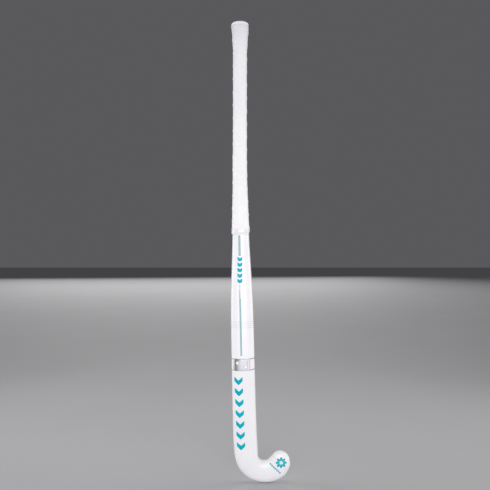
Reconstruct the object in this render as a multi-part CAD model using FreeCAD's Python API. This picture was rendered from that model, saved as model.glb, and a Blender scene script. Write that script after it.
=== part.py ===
"""Field hockey stick, 36.5 inches long, as separate named solids in millimetres.

Frame: the origin is the middle of the butt cap's flat crown, +Z runs up the straight handle, +X points
to the toe, and +Y is the side of the flat playing face, so the rounded back looks towards -Y.

The stick is drawn by its height above the base of the head, as players measure it, and every finished
solid is then hung below the origin. It is one lofted body: cuts across the stick, each D-shaped with a
flat front and a rounded back, follow the shaft down, fan round the crook and run out at the toe. The
same loft, grown or shrunk by an offset, makes the laminate's wall, its core and tubes, the grip's
layers and the printed films, so neighbouring pieces meet face to face.
"""

import FreeCAD, Part
import math
import os

from FreeCAD import Vector

LENGTH = 927.0            # base of the head to the crown of the butt cap
CAP_SEAT = 918.0          # height where the laminate ends and the butt cap sits

# Bow: the playing face is flat on the head, dips towards the back and comes up again to the handle.
FACE_Y = 14.0             # the face's Y at the base of the head and along the handle
BOW_DEPTH = 22.0
BOW_HEIGHT = 265.0        # where the bow is deepest
FACE_FLAT_TOP = 95.0      # the face is one plane below this height
HANDLE_STRAIGHT = 620.0   # above this height the face is straight again

# Outline of the hook, seen from the back.
CROOK = (49.2, 59.1)      # centre of the crook's inner arc: X, height
CROOK_R = 13.5
HEEL = (50.8, 61.3)       # centre of the round heel, which touches the ground
HEEL_R = 61.3
TOE_ANGLE = 53.7          # slope of the toe's upturned end, in degrees
TOE_TUCK = 2.6            # how far the outline pulls in from the heel's arc where the toe begins
TOE_OFFSET = 33.0         # from the crook's centre to the toe's middle line, at its tip
TOE_LEAN = 3.0            # how much further out the middle line starts
TOE_START = 5.4           # along the toe's slope, where its round end begins
TOE_LENGTH = 22.1
TOE_HALF_WIDTH = 21.5
TOE_FULLNESS = 1.1        # above 1 the toe's end is less full than an ellipse

# Section: shares of the half width and of the thickness.
HEAD_THICKNESS = 21.0
TOE_THICKNESS = 18.6
HEAD_FLAT = 0.75
HEAD_WIDEST = 0.36
BACK_FULLNESS = 2.3       # exponent of the rounded back: 2 is an ellipse
TOE_FLAT_R = 15.8         # the face stays flat inside this radius of the toe's end

# Shaft: height, heel edge X, toe edge X, thickness, flat share, depth share of the widest line.
# The first row lies above the seat, so that every layer is trimmed cleanly there.
SHAFT = [
    (921.0, -16.3, 16.3, 32.0, 0.28, 0.50),
    (918.0, -16.2, 16.2, 31.9, 0.28, 0.50),
    (905.0, -14.8, 15.4, 31.0, 0.28, 0.50),
    (890.0, -14.1, 14.4, 29.5, 0.30, 0.50),
    (872.0, -13.1, 13.2, 28.2, 0.30, 0.50),
    (845.0, -12.9, 12.7, 27.6, 0.30, 0.50),
    (790.0, -12.9, 12.6, 27.4, 0.30, 0.50),
    (730.0, -13.0, 12.55, 27.4, 0.30, 0.50),
    (680.0, -13.25, 12.6, 27.4, 0.30, 0.50),
    (630.0, -13.6, 12.95, 27.3, 0.31, 0.50),
    (590.0, -13.65, 13.9, 27.0, 0.34, 0.49),
    (550.0, -14.4, 15.65, 26.3, 0.40, 0.47),
    (510.0, -14.7, 17.45, 25.1, 0.50, 0.44),
    (470.0, -15.5, 19.55, 23.8, 0.60, 0.41),
    (430.0, -16.6, 22.0, 22.6, 0.68, 0.38),
    (390.0, -17.75, 24.35, 21.8, 0.72, 0.37),
    (350.0, -18.05, 26.25, 21.4, 0.74, 0.36),
    (310.0, -17.7, 27.6, 21.2, 0.75, 0.36),
    (260.0, -16.9, 28.8, 21.0, 0.75, 0.36),
    (210.0, -16.0, 30.2, 21.0, 0.75, 0.36),
    (160.0, -15.1, 31.7, 21.0, 0.75, 0.36),
    (120.0, -14.2, 33.05, 21.0, 0.75, 0.36),
    (85.0, -13.05, 34.6, 21.0, 0.75, 0.36),
    (70.0, -12.1, 35.4, 21.0, 0.75, 0.36),
]

BEND_ANGLES = [189, 202, 218, 234, 252, 270, 288, 304, 314, 270 + TOE_ANGLE]
TOE_ANGLES = [0, 18, 34, 48, 60, 70, 78, 84, 87.5]
CORNER_STEPS = 4
REAR_STEPS = 12

# Layers, as offsets from the laminate's outer skin.
WALL = 2.0
TUBE_WALL = 0.7
UNDERLAY = 0.15
GRIP = 1.15
TAPE = 1.6
FILM = 0.12

PLY = 0.7                 # aramid ply behind the playing face
PLY_TOP = 88.0
CORE_TOP = 150.0
PLUG_BASE = 880.0
SPIGOT_R = 5.0
SPIGOT_LENGTH = 14.0
CROWN_SCALE = 0.36        # the cap's flat crown, as a share of its rim
CAP_RIM = 2.0             # straight edge of the cap below its dome
DOME_SHARES = [0, 0.15, 0.3, 0.5, 0.7, 0.88, 1]
FACE_SHAVE = 0.1          # skimmed off the head's front, which leaves one true plane
SHAVE_TOP = 90.0

GRIP_BASE = 500.8
TAPE_BASE = 500.2
TAPE_TOP = 511.4

# Printed films on the rounded back. A place is its X and its height.
UPPER_STRIPE = [(-0.5, 457.6), (-1.2, 498.1)]     # bottom and top of the middle line
UPPER_STRIPE_WIDTH = 4.3
LOWER_STRIPE = [(2.8, 261.2), (0.3, 373.6)]
LOWER_STRIPE_WIDTH = 3.5
UPPER_ROW = [(-0.2, 450.8), (-0.2, 407.8)]        # first and last mark
UPPER_MARKS = 5
UPPER_MARK = (9.8, 9.6, 7.0)                      # width, height and stroke of one mark
LOWER_ROW = [(-2.8, 211.1), (2.2, 79.1)]
LOWER_MARKS = 7
LOWER_MARK = (16.4, 16.7, 9.2)
TICK_HEIGHTS = (399.3, 396.4, 393.4)
TICK_X = (-2.1, 1.1)
TICK_TALL = 1.5
SMALL_DASH = (-1.9, 1.1, 374.9, 391.0)            # low X, high X, low height, high height
HAIRLINE_HEIGHTS = (327.7, 323.7, 319.8, 315.9)
HAIRLINE_WIDTH = 0.5

# The foil: a panel with two small boxes in it, edged rings above and below, and two upright bars.
FOIL = (231.1, 255.5)
FOIL_EDGE = 1.6
FOIL_X = (-10.3, 16.3)
FOIL_BOXES = [(-7.3, -3.2, 243.9, 249.5), (9.8, 13.9, 236.6, 240.7)]
BAR_X = (-11.3, 19.3)
BAR_WIDTH = 1.4

# The toe's sunburst and the row of short bars that slants down towards it.
SUN = (82.2, 44.2)
SUN_POINTS = 8
SUN_TIP_R = 11.5
SUN_VALLEY_R = 7.6
SUN_HOLE_R = 3.2
DASH_ROW = [(61.0, 41.3), (79.9, 23.4)]
DASHES = 7
DASH_SIZE = (3.3, 3.4)

FAR = 200.0               # larger than any half width of the stick
INSIDE = 10.0             # a print's prism starts this deep behind the face, inside the laminate


# ---------------------------------------------------------------- the lofted body

def face_slope():
    """How fast the flat part of the face falls towards the back with height."""
    flat_rise = BOW_HEIGHT - FACE_FLAT_TOP
    return 2 * BOW_DEPTH / (flat_rise + 2 * FACE_FLAT_TOP)


def face_y(height):
    """Y of the playing face at a height above the base of the head."""
    deepest = FACE_Y - BOW_DEPTH
    if height < FACE_FLAT_TOP:
        return FACE_Y - face_slope() * height
    if height < BOW_HEIGHT:
        bend = face_slope() / (2 * (BOW_HEIGHT - FACE_FLAT_TOP))
        return deepest + bend * (BOW_HEIGHT - height) ** 2
    share = min((height - BOW_HEIGHT) / (HANDLE_STRAIGHT - BOW_HEIGHT), 1.0)
    return deepest + BOW_DEPTH * share ** 2 * (3 - 2 * share)


def shaft_cut(row, offset):
    """A level cut across the shaft. Its axis points from the toe side to the heel side."""
    height, heel, toe, thickness, flat, widest = row
    half = (toe - heel) / 2
    return dict(
        middle=((toe + heel) / 2, height), axis=(-1.0, 0.0), half=half + offset,
        flat=flat * half, face=-offset, widest=widest * thickness, back=thickness + offset,
    )


def bend_cut(angle, offset):
    """A cut through the crook's centre, from its inner arc out to the round heel."""
    axis = (math.cos(math.radians(angle)), math.sin(math.radians(angle)))
    away = (CROOK[0] - HEEL[0], CROOK[1] - HEEL[1])
    along = away[0] * axis[0] + away[1] * axis[1]
    outer = -along + math.sqrt(along ** 2 + HEEL_R ** 2 - away[0] ** 2 - away[1] ** 2)
    turn = (angle - BEND_ANGLES[0]) / (BEND_ANGLES[-1] - BEND_ANGLES[0])
    outer -= TOE_TUCK * turn ** 20
    half = (outer - CROOK_R) / 2
    reach = CROOK_R + half
    thickness = HEAD_THICKNESS + (TOE_THICKNESS - HEAD_THICKNESS) * turn
    return dict(
        middle=(CROOK[0] + reach * axis[0], CROOK[1] + reach * axis[1]), axis=axis,
        half=half + offset, flat=HEAD_FLAT * half, face=-offset,
        widest=HEAD_WIDEST * thickness, back=thickness + offset,
    )


def toe_cut(angle, offset):
    """A cut across the toe's round end, which closes like the edge of a coin."""
    slope = math.radians(TOE_ANGLE)
    along = (math.cos(slope), math.sin(slope))
    axis = (math.sin(slope), -math.cos(slope))
    sine, cosine = math.sin(math.radians(angle)), math.cos(math.radians(angle))
    run = TOE_LENGTH * sine
    reach = TOE_START + (TOE_LENGTH + offset) * sine
    flat = math.sqrt(max(TOE_FLAT_R ** 2 - run ** 2, 0.0))
    edge = max(run - TOE_FLAT_R, 0.0) / (TOE_LENGTH - TOE_FLAT_R)
    rounding = 1 - math.sqrt(1 - edge ** 2)
    widest = HEAD_WIDEST * TOE_THICKNESS
    half = (TOE_HALF_WIDTH + offset) * cosine ** TOE_FULLNESS
    out = TOE_OFFSET + TOE_LEAN * cosine ** 10
    return dict(
        middle=(CROOK[0] + out * axis[0] + reach * along[0], CROOK[1] + out * axis[1] + reach * along[1]),
        axis=axis, half=half, flat=max(min(flat, 0.8 * half), 0.1 * half),
        face=-offset + (widest + offset) * rounding, widest=widest,
        back=widest + (TOE_THICKNESS - widest + offset) * cosine,
    )


def cuts(offset):
    """Every cut of the stick, from the butt to the toe's tip."""
    shaft = [shaft_cut(row, offset) for row in SHAFT]
    bend = [bend_cut(angle, offset) for angle in BEND_ANGLES]
    toe = [toe_cut(angle, offset) for angle in TOE_ANGLES]
    return shaft + bend + toe


def place(cut, across, depth):
    """The point of a cut that lies so far across from its middle and so deep behind the face."""
    height = cut["middle"][1] + across * cut["axis"][1]
    return Vector(cut["middle"][0] + across * cut["axis"][0], face_y(height) - depth, height)


def curve(points, start, end):
    """A smooth edge through evenly numbered points, with the given unit directions at its ends."""
    last = len(points) - 1
    numbers = [i / last for i in range(last + 1)]
    first_speed = points[0].distanceToPoint(points[1]) * last
    last_speed = points[-1].distanceToPoint(points[-2]) * last
    spline = Part.BSplineCurve()
    spline.interpolate(Points=points, Parameters=numbers, Scale=False,
                       InitialTangent=start * first_speed, FinalTangent=end * last_speed)
    return spline.toShape()


def corner_points(cut, side):
    """A rounded corner of the face, from the flat out to the widest line."""
    points = []
    for step in range(CORNER_STEPS + 1):
        angle = math.pi / 2 * step / CORNER_STEPS
        across = cut["flat"] + (cut["half"] - cut["flat"]) * math.sin(angle)
        depth = cut["widest"] - (cut["widest"] - cut["face"]) * math.cos(angle)
        points.append(place(cut, side * across, depth))
    return points


def rear_points(cut):
    """The rounded back, from one end of the widest line to the other."""
    power = 2 / BACK_FULLNESS
    points = []
    for step in range(REAR_STEPS + 1):
        angle = math.pi * step / REAR_STEPS
        across = math.copysign(abs(math.cos(angle)) ** power, math.cos(angle))
        depth = cut["widest"] + (cut["back"] - cut["widest"]) * math.sin(angle) ** power
        points.append(place(cut, cut["half"] * across, depth))
    return points


def section(cut):
    """The closed D-shaped wire of a cut: flat face, rounded corner, rounded back, rounded corner."""
    side = (place(cut, 1, 0) - place(cut, 0, 0)).normalize()
    rearward = Vector(0, -1, 0)
    near, far, rear = corner_points(cut, 1), corner_points(cut, -1)[::-1], rear_points(cut)
    rear[0], rear[-1] = near[-1], far[0]
    return Part.Wire([
        Part.makeLine(far[-1], near[0]),
        curve(near, side, rearward),
        curve(rear, rearward, -rearward),
        curve(far, -rearward, side),
    ])


BODIES = {}


def body(offset=0.0):
    """The whole stick as one solid, grown by the offset. Each caller gets its own copy to cut up."""
    if offset not in BODIES:
        BODIES[offset] = Part.makeLoft([section(cut) for cut in cuts(offset)], True, False)
    return BODIES[offset].copy()


def slab(low, high):
    """Everything between two heights."""
    return Part.makeBox(2 * FAR, 2 * FAR, high - low, Vector(-FAR, -FAR, low))


def span(offset, low, high):
    """The stretch of the grown stick between two heights."""
    return body(offset).common(slab(low, high))


def front(depth, top):
    """Everything in front of the plane that lies so deep behind the head's flat face. Its top leans out."""
    low = -FAR / 10
    high_y = face_y(0) - depth - top * face_slope()
    edges = [(face_y(low) - depth, low), (high_y, top), (FAR, top + FAR - high_y), (FAR, low)]
    corners = [Vector(-FAR, y, z) for y, z in edges]
    return Part.Face(Part.makePolygon(corners + corners[:1])).extrude(Vector(2 * FAR, 0, 0))


# ---------------------------------------------------------------- the laminate and what is inside it

def outer_laminate():
    shell = span(0, -1, CAP_SEAT).cut(body(-WALL))
    return shell.cut(front(FACE_SHAVE, SHAVE_TOP))


def face_ply():
    return body(-WALL).common(front(WALL + PLY, PLY_TOP))


def head_core():
    return span(-WALL, -1, CORE_TOP).cut(front(WALL + PLY, PLY_TOP))


def half_space(side, gap):
    """The heel side (-1) or toe side (+1) of the shaft's middle line, pulled back by a gap."""
    line = [Vector((row[1] + row[2]) / 2 + side * gap, -FAR, row[0]) for row in SHAFT]
    middle = Part.BSplineCurve()
    middle.interpolate(line)
    outer = [Vector(side * FAR, -FAR, end.z) for end in (line[-1], line[0])]
    outline = Part.Wire([middle.toShape(), Part.makeLine(line[-1], outer[0]),
                         Part.makeLine(outer[0], outer[1]), Part.makeLine(outer[1], line[0])])
    return Part.Face(outline).extrude(Vector(0, 2 * FAR, 0))


def inner_tube(side):
    """One of the two tubes that lie side by side in the shaft and form its web."""
    outer = span(-WALL, CORE_TOP, PLUG_BASE).common(half_space(side, 0))
    hollow = span(-WALL - TUBE_WALL, CORE_TOP - 1, PLUG_BASE + 1).common(half_space(side, TUBE_WALL))
    return outer.cut(hollow)


def tube_heel_side():
    return inner_tube(-1)


def tube_toe_side():
    return inner_tube(1)


def spigot():
    return Part.makeCylinder(SPIGOT_R, SPIGOT_LENGTH, Vector(0, 0, CAP_SEAT - SPIGOT_LENGTH))


def handle_plug():
    return span(-WALL, PLUG_BASE, CAP_SEAT).cut(spigot())


# ---------------------------------------------------------------- the handle's covering

def cap_wire(height, scale):
    """The rim of the grip, scaled about the handle's axis and set at a height."""
    seat_row = next(row for row in SHAFT if row[0] == CAP_SEAT)
    wire = section(shaft_cut(seat_row, GRIP - FILM))
    wire.scale(scale, Vector(0, 0, CAP_SEAT))
    wire.translate(Vector(0, 0, height - CAP_SEAT))
    return wire


def butt_cap():
    """A short rim, a dome with a flat crown, and the spigot that plugs into the handle."""
    rim = Part.makeLoft([cap_wire(CAP_SEAT, 1), cap_wire(CAP_SEAT + CAP_RIM, 1)], True, True)
    rise = LENGTH - CAP_SEAT - CAP_RIM
    crown_angle = math.acos(CROWN_SCALE)
    wires = []
    for share in DOME_SHARES:
        angle = share * crown_angle
        height = CAP_SEAT + CAP_RIM + rise * math.sin(angle) / math.sin(crown_angle)
        wires.append(cap_wire(height, math.cos(angle)))
    return rim.fuse([Part.makeLoft(wires, True, False), spigot()]).removeSplitter()


def grip_underlay():
    return span(UNDERLAY, GRIP_BASE, CAP_SEAT).cut(body())


def cushion_grip():
    return span(GRIP, GRIP_BASE, CAP_SEAT).cut(body(UNDERLAY))


def finishing_tape():
    return span(TAPE, TAPE_BASE, TAPE_TOP).cut(span(GRIP, GRIP_BASE, TAPE_TOP + 1)).cut(body())


# ---------------------------------------------------------------- printed films and foil

def skin():
    """The layer, one film thick, that lies all over the laminate."""
    if "skin" not in BODIES:
        BODIES["skin"] = body(FILM).cut(body())
    return BODIES["skin"].copy()


def films(prisms):
    """The thin printed layers that some prisms mark on the laminate."""
    return Part.Compound([solid for prism in prisms for solid in skin().common(prism).Solids])


def print_prism(places):
    """An outline on the stick's back, extruded towards the back from inside the stick."""
    heights = [height for x, height in places]
    start = face_y((min(heights) + max(heights)) / 2) - INSIDE
    corners = [Vector(x, start, height) for x, height in places]
    return Part.Face(Part.makePolygon(corners + corners[:1])).extrude(Vector(0, -FAR, 0))


def box_prism(low_x, high_x, low, high):
    return print_prism([(low_x, low), (high_x, low), (high_x, high), (low_x, high)])


def ring(low, high):
    """A film that runs all round the shaft between two heights."""
    return span(FILM, low, high).cut(span(0, low - 1, high + 1))


def row_of(ends, count):
    """Evenly spaced places from the first to the last."""
    (first_x, first), (last_x, last) = ends
    shares = [i / (count - 1) for i in range(count)]
    return [(first_x + (last_x - first_x) * s, first + (last - first) * s) for s in shares]


def stripe_prism(middle_line, width):
    (low_x, low), (high_x, high) = middle_line
    half = width / 2
    return print_prism([(low_x - half, low), (low_x + half, low), (high_x + half, high), (high_x - half, high)])


def upper_pinstripe():
    return films([stripe_prism(UPPER_STRIPE, UPPER_STRIPE_WIDTH)])


def lower_pinstripe():
    return films([stripe_prism(LOWER_STRIPE, LOWER_STRIPE_WIDTH)])


def chevron_prism(middle, size):
    """A bent bar that points down the stick, with its top ends cut level."""
    (x, height), (wide, tall, stroke) = middle, size
    half, top, low = wide / 2, height + tall / 2, height - tall / 2
    return print_prism([(x - half, top), (x, low + stroke), (x + half, top),
                        (x + half, top - stroke), (x, low), (x - half, top - stroke)])


def upper_motif():
    return films([chevron_prism(middle, UPPER_MARK) for middle in row_of(UPPER_ROW, UPPER_MARKS)])


def lower_motif():
    return films([chevron_prism(middle, LOWER_MARK) for middle in row_of(LOWER_ROW, LOWER_MARKS)])


def small_marks():
    ticks = [box_prism(*TICK_X, height, height + TICK_TALL) for height in TICK_HEIGHTS]
    return films(ticks + [box_prism(*SMALL_DASH)])


def hairlines():
    """Fine rings round the shaft, which stop at the lower pinstripe."""
    half = HAIRLINE_WIDTH / 2
    rings = [ring(height - half, height + half) for height in HAIRLINE_HEIGHTS]
    gap = stripe_prism(LOWER_STRIPE, LOWER_STRIPE_WIDTH)
    return Part.Compound([line.cut(gap) for line in rings])


def foil_emblem():
    return films([box_prism(*box) for box in FOIL_BOXES])


def foil_band():
    panel = box_prism(*FOIL_X, FOIL[0] + FOIL_EDGE, FOIL[1] - FOIL_EDGE)
    return films([panel.cut(Part.Compound([box_prism(*box) for box in FOIL_BOXES]))])


def foil_border():
    low, high = FOIL
    half = BAR_WIDTH / 2
    bars = films([box_prism(x - half, x + half, low + FOIL_EDGE, high - FOIL_EDGE) for x in BAR_X])
    return Part.Compound([ring(low, low + FOIL_EDGE), ring(high - FOIL_EDGE, high)] + bars.Solids)


def head_sunburst():
    """A ring of points round an open centre."""
    star = []
    for i in range(2 * SUN_POINTS):
        radius = SUN_TIP_R if i % 2 == 0 else SUN_VALLEY_R
        angle = math.pi * i / SUN_POINTS
        star.append((SUN[0] + radius * math.cos(angle), SUN[1] + radius * math.sin(angle)))
    hole = Part.makeCylinder(SUN_HOLE_R, 2 * FAR, Vector(SUN[0], FAR, SUN[1]), Vector(0, -1, 0))
    return films([print_prism(star).cut(hole)])


def head_dashes():
    """Short bars in a row that slants down towards the toe at 45 degrees."""
    half_long, half_wide = DASH_SIZE[0] / 2, DASH_SIZE[1] / 2
    sides = [(half_long, half_wide), (-half_long, half_wide),
             (-half_long, -half_wide), (half_long, -half_wide)]
    turn = math.sqrt(0.5)
    return films([print_prism([(x + (a + b) * turn, height + (b - a) * turn) for a, b in sides])
                  for x, height in row_of(DASH_ROW, DASHES)])


PIECES = [
    outer_laminate, face_ply, head_core, tube_heel_side, tube_toe_side, handle_plug,
    butt_cap, grip_underlay, cushion_grip, finishing_tape,
    upper_pinstripe, upper_motif, small_marks, lower_pinstripe, hairlines,
    foil_band, foil_border, foil_emblem, lower_motif, head_sunburst, head_dashes,
]


def main():
    os.makedirs("parts", exist_ok=True)
    for piece in PIECES:
        shape = piece()
        shape.translate(Vector(0, 0, -LENGTH))
        shape.exportStep(os.path.join("parts", piece.__name__ + ".step"))
        print(f"{piece.__name__:18} solids {len(shape.Solids):2} valid {shape.isValid()}"
              f" volume {shape.Volume:10.1f}", flush=True)


main()
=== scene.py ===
"""The looks of a field hockey stick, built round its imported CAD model.

Lengths are millimetres and heights are above the base of the head, as in the CAD source, until a mesh is
made: there a point is hung from the butt and turned into metres. Only the floor, the lamps and the camera's
place are given in metres.
"""

import math

import bpy
import numpy as np
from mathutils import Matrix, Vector
from mathutils.bvhtree import BVHTree


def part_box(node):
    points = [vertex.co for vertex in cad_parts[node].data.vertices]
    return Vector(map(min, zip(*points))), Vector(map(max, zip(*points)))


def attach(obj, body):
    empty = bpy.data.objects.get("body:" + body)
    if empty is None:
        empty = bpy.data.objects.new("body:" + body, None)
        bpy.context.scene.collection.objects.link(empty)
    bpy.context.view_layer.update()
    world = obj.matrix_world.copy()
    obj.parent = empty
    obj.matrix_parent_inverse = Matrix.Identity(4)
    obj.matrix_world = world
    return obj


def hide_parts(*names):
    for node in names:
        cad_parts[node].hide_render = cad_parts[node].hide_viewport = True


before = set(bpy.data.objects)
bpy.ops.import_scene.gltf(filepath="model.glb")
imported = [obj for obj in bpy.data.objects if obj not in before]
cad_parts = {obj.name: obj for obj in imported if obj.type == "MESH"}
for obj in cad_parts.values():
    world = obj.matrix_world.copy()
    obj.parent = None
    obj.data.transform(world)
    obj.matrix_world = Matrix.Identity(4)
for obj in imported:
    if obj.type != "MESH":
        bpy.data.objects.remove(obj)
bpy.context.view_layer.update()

MM = 0.001
BASE_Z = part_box("outer_laminate")[0].z    # the base of the head
CAP_SEAT = (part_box("cushion_grip")[1].z - BASE_Z) / MM
LENGTH = (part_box("butt_cap")[1].z - BASE_Z) / MM
GRIP_BASE = (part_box("cushion_grip")[0].z - BASE_Z) / MM
TAPE_BASE = (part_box("finishing_tape")[0].z - BASE_Z) / MM
TAPE_TOP = (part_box("finishing_tape")[1].z - BASE_Z) / MM

# ---------------------------------------------------------------- the stick's surface, as in the CAD source

FACE_Y = 14.0
BOW_DEPTH = 22.0
BOW_HEIGHT = 265.0
FACE_FLAT_TOP = 95.0
HANDLE_STRAIGHT = 620.0

CROOK = (49.2, 59.1)
CROOK_R = 13.5
HEEL = (50.8, 61.3)
HEEL_R = 61.3
TOE_ANGLE = 53.7
TOE_TUCK = 2.6
TOE_OFFSET = 33.0
TOE_LEAN = 3.0
TOE_START = 5.4
TOE_LENGTH = 22.1
TOE_HALF_WIDTH = 21.5
TOE_FULLNESS = 1.1
HEAD_THICKNESS = 21.0
TOE_THICKNESS = 18.6
HEAD_FLAT = 0.75
HEAD_WIDEST = 0.36
BACK_FULLNESS = 2.3
TOE_FLAT_R = 15.8

# Height, heel edge X, toe edge X, thickness, flat share, depth share of the widest line.
SHAFT = [
    (921.0, -16.3, 16.3, 32.0, 0.28, 0.50),
    (918.0, -16.2, 16.2, 31.9, 0.28, 0.50),
    (905.0, -14.8, 15.4, 31.0, 0.28, 0.50),
    (890.0, -14.1, 14.4, 29.5, 0.30, 0.50),
    (872.0, -13.1, 13.2, 28.2, 0.30, 0.50),
    (845.0, -12.9, 12.7, 27.6, 0.30, 0.50),
    (790.0, -12.9, 12.6, 27.4, 0.30, 0.50),
    (730.0, -13.0, 12.55, 27.4, 0.30, 0.50),
    (680.0, -13.25, 12.6, 27.4, 0.30, 0.50),
    (630.0, -13.6, 12.95, 27.3, 0.31, 0.50),
    (590.0, -13.65, 13.9, 27.0, 0.34, 0.49),
    (550.0, -14.4, 15.65, 26.3, 0.40, 0.47),
    (510.0, -14.7, 17.45, 25.1, 0.50, 0.44),
    (470.0, -15.5, 19.55, 23.8, 0.60, 0.41),
    (430.0, -16.6, 22.0, 22.6, 0.68, 0.38),
    (390.0, -17.75, 24.35, 21.8, 0.72, 0.37),
    (350.0, -18.05, 26.25, 21.4, 0.74, 0.36),
    (310.0, -17.7, 27.6, 21.2, 0.75, 0.36),
    (260.0, -16.9, 28.8, 21.0, 0.75, 0.36),
    (210.0, -16.0, 30.2, 21.0, 0.75, 0.36),
    (160.0, -15.1, 31.7, 21.0, 0.75, 0.36),
    (120.0, -14.2, 33.05, 21.0, 0.75, 0.36),
    (85.0, -13.05, 34.6, 21.0, 0.75, 0.36),
    (70.0, -12.1, 35.4, 21.0, 0.75, 0.36),
]
BEND_ANGLES = [189, 202, 218, 234, 252, 270, 288, 304, 314, 270 + TOE_ANGLE]
TOE_ANGLES = [0, 18, 34, 48, 60, 70, 78, 84, 87.5]

WALL = 2.0
UNDERLAY = 0.15
FILM = 0.12
UNDER_RINGS = 0.08        # the foil lies a little lower than the rings that cross its corners
OVER_FOIL = 0.18          # and the spots on it a little higher
BURIED = -0.06            # a film's underside lies this far inside the lacquer
GRIP_OFFSET = 1.03        # the grip's outside at the butt, from the laminate

# Shares of one turn round a section: the rounded back, one corner, the flat front.
REAR_SHARE = 0.49
CORNER_SHARE = 0.21
FRONT_SHARE = 1 - REAR_SHARE - 2 * CORNER_SHARE

# ---------------------------------------------------------------- places and sizes of the prints and foil

# A place is (X, height), and a row or a stripe runs from one place to another.
UPPER_STRIPE = ((-0.5, 457.6), (-1.2, 498.1))
UPPER_STRIPE_WIDTH = 4.3
LOWER_STRIPE = ((2.8, 261.2), (0.3, 373.6))
LOWER_STRIPE_WIDTH = 3.5
DOT_PITCH = 4.4
DOTS = (300, 280)                                 # heights where the dots begin and where they are full

UPPER_ROW = ((-0.2, 450.8), (-0.2, 407.8))
UPPER_MARKS = 5
UPPER_MARK = (9.8, 9.6, 7.0)                      # width, height and stroke of one mark
LOWER_ROW = ((-2.8, 211.1), (2.2, 79.1))
LOWER_MARKS = 7
LOWER_MARK = (16.4, 16.7, 9.2)

TICK_HEIGHTS = (399.3, 396.4, 393.4)
TICK_X = (-2.1, 1.1)
TICK_TALL = 1.5
SMALL_DASH = (-1.9, 1.1, 374.9, 391.0)            # low X, high X, low height, high height
HAIRLINES = (327.7, 323.7, 319.8, 315.9)
HAIRLINE_WIDTH = 0.5

FOIL_X = (-10.3, 16.3)
FOIL_HEIGHTS = (232.7, 253.9)
LOWER_RING = (231.1, 232.7)
UPPER_RING = (253.9, 255.5)
HEEL_BAR_X = (-12.6, -10.4)
TOE_BAR_X = (18.6, 20.0)
FOIL_SPOTS = [((-5.25, 246.7), 2.1, 2.9), ((11.85, 238.65), 2.1, 2.1)]     # place, half width, half height

SUN = (82.2, 44.2)
SUN_TIP = 11.5            # radius at the tips, between them and of the open centre
SUN_VALLEY = 7.6
SUN_HOLE = 3.2
SUN_POINTS = 8
DASH_ROW = ((61.0, 41.3), (79.9, 23.4))
DASHES = 7
DASH_SIZE = (3.4, 3.6)
DASH_TURN = -45


def natural_spline(knots, values, at):
    """A natural cubic spline through rows of values, read at other knots."""
    knots, values, at = (np.asarray(a, float) for a in (knots, values, at))
    flat = values.reshape(len(knots), -1)
    step = np.diff(knots)
    count = len(knots)
    matrix = np.zeros((count, count))
    right = np.zeros((count, flat.shape[1]))
    matrix[0, 0] = matrix[-1, -1] = 1
    slope = np.diff(flat, axis=0) / step[:, None]
    for i in range(1, count - 1):
        matrix[i, i - 1:i + 2] = step[i - 1], 2 * (step[i - 1] + step[i]), step[i]
        right[i] = 6 * (slope[i] - slope[i - 1])
    bend = np.linalg.solve(matrix, right)
    i = np.clip(np.searchsorted(knots, at) - 1, 0, count - 2)
    width = step[i][:, None]
    low = (knots[i + 1] - at)[:, None]
    high = (at - knots[i])[:, None]
    result = ((bend[i] * low ** 3 + bend[i + 1] * high ** 3) / (6 * width)
              + (flat[i] / width - bend[i] * width / 6) * low
              + (flat[i + 1] / width - bend[i + 1] * width / 6) * high)
    return result.reshape((len(at),) + values.shape[1:])


def face_y(height):
    """Y of the playing face at heights above the base of the head."""
    height = np.asarray(height, float)
    deepest = FACE_Y - BOW_DEPTH
    flat_rise = BOW_HEIGHT - FACE_FLAT_TOP
    slope = 2 * BOW_DEPTH / (flat_rise + 2 * FACE_FLAT_TOP)
    low = FACE_Y - slope * height
    middle = deepest + slope / (2 * flat_rise) * (BOW_HEIGHT - height) ** 2
    share = np.clip((height - BOW_HEIGHT) / (HANDLE_STRAIGHT - BOW_HEIGHT), 0, 1)
    high = deepest + BOW_DEPTH * share ** 2 * (3 - 2 * share)
    return np.where(height < FACE_FLAT_TOP, low, np.where(height < BOW_HEIGHT, middle, high))


def d_outline(turn, half, flat, face, widest, back):
    """Across (towards the heel side) and depth, once round a D: back, toe corner, front, heel corner."""
    turn = np.asarray(turn, float) % 1
    power = 2 / BACK_FULLNESS
    angle = np.pi * np.clip(turn / REAR_SHARE, 0, 1)
    cosine, sine = np.cos(angle), np.clip(np.sin(angle), 0, 1)
    rear = (half * np.sign(cosine) * np.abs(cosine) ** power, widest + (back - widest) * sine ** power)
    toe_angle = np.pi / 2 * np.clip((turn - REAR_SHARE) / CORNER_SHARE, 0, 1)
    toe = (-flat - (half - flat) * np.cos(toe_angle), widest - (widest - face) * np.sin(toe_angle))
    along = np.clip((turn - REAR_SHARE - CORNER_SHARE) / FRONT_SHARE, 0, 1)
    front = (flat * (2 * along - 1), face + 0 * along)
    heel_angle = np.pi / 2 * np.clip((turn - 1 + CORNER_SHARE) / CORNER_SHARE, 0, 1)
    heel = (flat + (half - flat) * np.sin(heel_angle), widest - (widest - face) * np.cos(heel_angle))
    parts = [turn < REAR_SHARE, turn < REAR_SHARE + CORNER_SHARE, turn < 1 - CORNER_SHARE]
    return tuple(np.select(parts, [rear[i], toe[i], front[i]], heel[i]) for i in (0, 1))


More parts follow.
